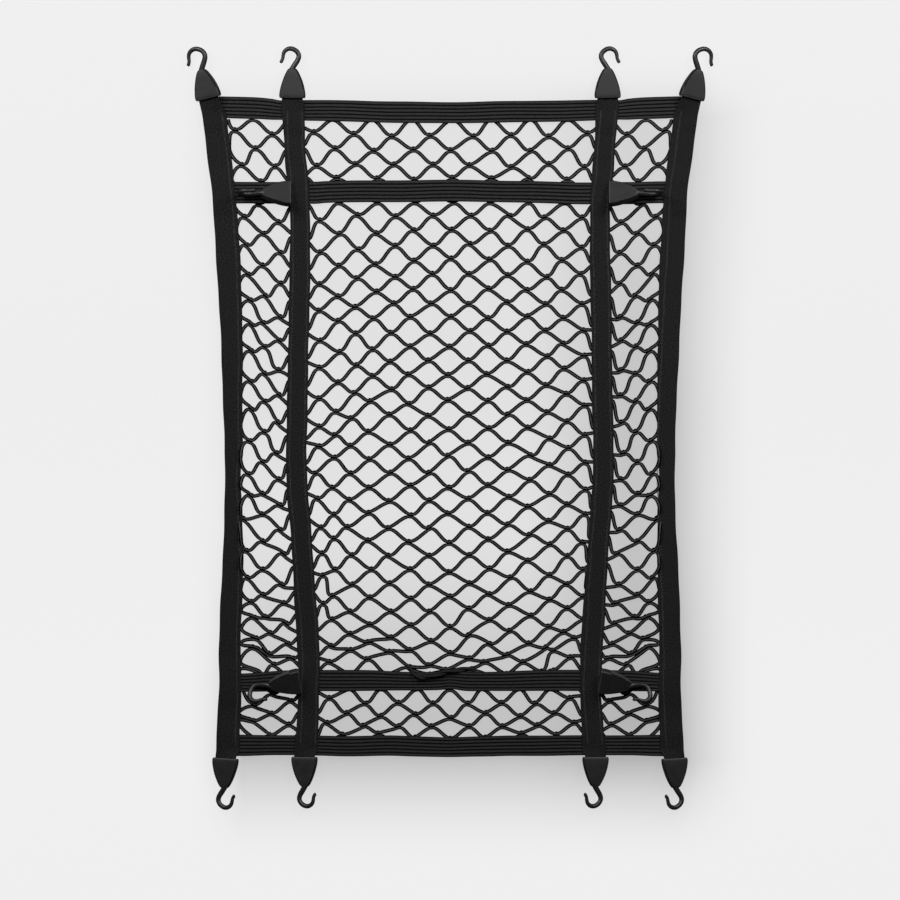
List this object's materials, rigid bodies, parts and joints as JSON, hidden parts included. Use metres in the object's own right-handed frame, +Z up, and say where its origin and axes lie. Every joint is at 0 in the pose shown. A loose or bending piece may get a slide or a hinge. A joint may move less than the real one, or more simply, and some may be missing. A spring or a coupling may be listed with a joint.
{
  "type": "cargo net",
  "caption": "Stretch cargo net of black elastic cord, with ribbed elastic bands across it, webbing straps down it, and a moulded hook on each strap end and on its sides.",
  "frame": {"origin": "middle of the net's outline, hooks included, on the surface that it lies on", "axes": "+Y up the straps to the net's top edge, +X to the net's right, +Z up off the surface"},
  "size_m": [0.872, 1.2679, 0.0427],
  "materials": {
    "elastic_cord": "braided polyester sheath over rubber, matt",
    "ribbed_elastic": "woven elastic with raised ribs along it, matt",
    "webbing": "plain woven webbing, matt",
    "moulded_plastic": "injection moulded nylon, satin"
  },
  "bodies": {
    "root": {"net": "elastic_cord", "band_top": "ribbed_elastic", "band_upper": "ribbed_elastic", "band_lower": "ribbed_elastic", "band_bottom": "ribbed_elastic", "strap_outer_left": "webbing", "strap_outer_right": "webbing", "strap_inner_left": "webbing", "strap_inner_right": "webbing", "cap_outer_top_left": "moulded_plastic", "cap_outer_top_right": "moulded_plastic", "cap_inner_top_left": "moulded_plastic", "cap_inner_top_right": "moulded_plastic", "cap_upper_side_left": "moulded_plastic", "cap_upper_side_right": "moulded_plastic", "cap_lower_side_left": "moulded_plastic", "cap_lower_side_right": "moulded_plastic", "cap_outer_bottom_left": "moulded_plastic", "cap_outer_bottom_right": "moulded_plastic", "cap_inner_bottom_left": "moulded_plastic", "cap_inner_bottom_right": "moulded_plastic", "hook_outer_top_left": "moulded_plastic", "hook_outer_top_right": "moulded_plastic", "hook_inner_top_left": "moulded_plastic", "hook_inner_top_right": "moulded_plastic", "hook_upper_side_left": "moulded_plastic", "hook_upper_side_right": "moulded_plastic", "hook_lower_side_left": "moulded_plastic", "hook_lower_side_right": "moulded_plastic", "hook_outer_bottom_left": "moulded_plastic", "hook_outer_bottom_right": "moulded_plastic", "hook_inner_bottom_left": "moulded_plastic", "hook_inner_bottom_right": "moulded_plastic"}
  },
  "joints": []
}
